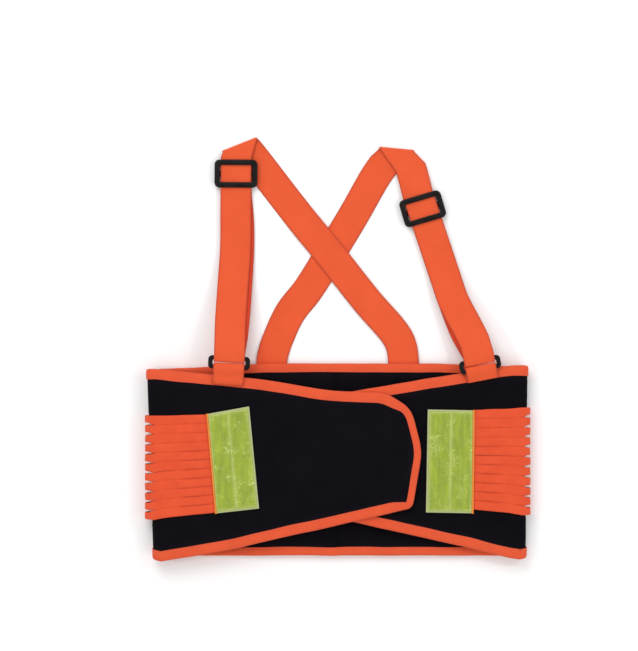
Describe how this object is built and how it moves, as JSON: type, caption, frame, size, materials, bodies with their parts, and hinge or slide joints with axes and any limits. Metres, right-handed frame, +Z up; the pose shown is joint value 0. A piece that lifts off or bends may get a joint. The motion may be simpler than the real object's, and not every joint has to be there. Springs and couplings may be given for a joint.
{
  "type": "lumbar support belt",
  "caption": "Elastic back support belt with overlapping closure flaps, side tension bands with grip tabs and crossed shoulder straps.",
  "frame": {"origin": "middle of the bounding box, on the surface that the belt lies on", "axes": "+X across the belt to the viewer's right, +Y from the belt's lower edge towards the shoulder folds, +Z up out of the belt's front"},
  "size_m": [0.424, 0.467, 0.0307],
  "materials": {
    "panel": "matt black padded fabric",
    "binding": "fluorescent orange woven edge binding",
    "elastic": "fluorescent orange ribbed elastic",
    "webbing": "fluorescent orange woven webbing",
    "reflector": "glossy lime PVC tape",
    "tab_backing": "pale olive coated border",
    "hook": "black hook fastener",
    "loop": "black brushed loop fastener",
    "plastic": "black moulded plastic",
    "stay": "natural flexible plastic",
    "casing": "black woven tape"
  },
  "bodies": {
    "belt": {"back_panel": "panel", "left_side_panel": "panel", "right_side_panel": "panel", "left_front_panel": "panel", "right_front_panel": "panel", "back_binding_top": "binding", "back_binding_bottom": "binding", "left_binding_top": "binding", "left_binding_bottom": "binding", "right_binding_top": "binding", "right_binding_bottom": "binding", "left_tension_band": "elastic", "right_tension_band": "elastic", "left_rear_band": "elastic", "right_rear_band": "elastic", "centre_back_patch": "casing", "left_strap_tab": "webbing", "right_strap_tab": "webbing", "left_ring": "plastic", "right_ring": "plastic", "left_front_strap": "webbing", "right_front_strap": "webbing", "left_return_strap": "webbing", "right_return_strap": "webbing", "left_back_strap": "webbing", "right_back_strap": "webbing", "stay_1": "stay", "stay_casing_1": "casing", "stay_2": "stay", "stay_casing_2": "casing", "stay_3": "stay", "stay_casing_3": "casing", "stay_4": "stay", "stay_casing_4": "casing"},
    "closure": {"closure_flap": "panel", "closure_flap_binding": "binding", "closure_hook_patch": "hook"},
    "under_closure": {"under_flap": "panel", "under_flap_binding": "binding", "under_loop_patch": "loop"},
    "left_tab": {"left_grip_tab": "tab_backing", "left_tab_hook_patch": "hook", "left_tab_reflector_1": "reflector", "left_tab_reflector_2": "reflector"},
    "right_tab": {"right_grip_tab": "tab_backing", "right_tab_hook_patch": "hook", "right_tab_reflector_1": "reflector", "right_tab_reflector_2": "reflector"},
    "left_adjuster": {"left_adjuster": "plastic"},
    "right_adjuster": {"right_adjuster": "plastic"}
  },
  "joints": [
    {"name": "closure_flap_hinge", "type": "hinge", "parent": "belt", "child": "closure", "pos_m": [-0.082, -0.12, 0.0244], "axis": [0, -1, 0], "range_deg": [0, 100]},
    {"name": "under_flap_hinge", "type": "hinge", "parent": "belt", "child": "under_closure", "pos_m": [0.0935, -0.12, 0.0189], "axis": [0, 1, 0], "range_deg": [0, 25]},
    {"name": "left_tab_peel", "type": "hinge", "parent": "belt", "child": "left_tab", "pos_m": [-0.1394, -0.1258, 0.0273], "axis": [0.0877, -0.9961, 0], "range_deg": [0, 110]},
    {"name": "right_tab_peel", "type": "hinge", "parent": "belt", "child": "right_tab", "pos_m": [0.1499, -0.12385, 0.0218], "axis": [0.0124, 0.9999, 0], "range_deg": [0, 110]},
    {"name": "left_adjuster_slide", "type": "slide", "parent": "belt", "child": "left_adjuster", "axis": [-0.0075, -1, 0], "range_m": [0, 0.05], "deforming": ["left_return_strap"]},
    {"name": "right_adjuster_slide", "type": "slide", "parent": "belt", "child": "right_adjuster", "axis": [0.3156, -0.9489, 0], "range_m": [0, 0.04], "deforming": ["right_return_strap"]}
  ],
  "couplings": [
    {"joint": "under_flap_hinge", "follows": "closure_flap_hinge", "ratio": 0.25}
  ]
}
